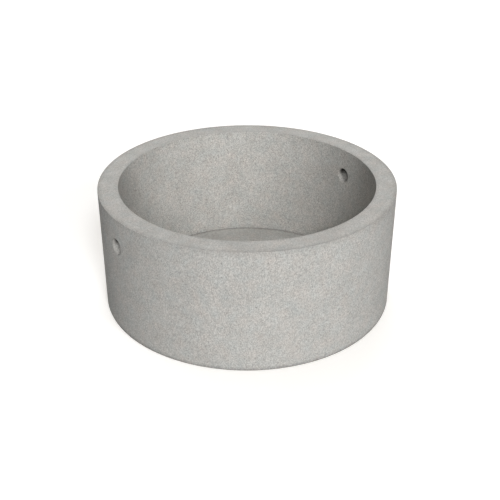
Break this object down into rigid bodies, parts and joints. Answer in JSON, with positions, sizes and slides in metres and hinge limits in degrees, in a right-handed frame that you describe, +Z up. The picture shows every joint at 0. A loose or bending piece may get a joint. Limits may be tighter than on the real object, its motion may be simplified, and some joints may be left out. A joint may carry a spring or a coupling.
{
  "type": "concrete well ring with base",
  "caption": "Round precast concrete ring wall with a flat base cast in, open at the top, with lifting holes facing each other below the rim.",
  "frame": {"origin": "centre of the underside, on the axis of the ring", "axes": "+Z up along the axis of the ring; the lifting holes lie on -X and +X"},
  "size_m": [1.16, 1.16, 0.49],
  "materials": {
    "concrete": "matte"
  },
  "bodies": {
    "root": {"well_ring": "concrete"}
  },
  "joints": []
}
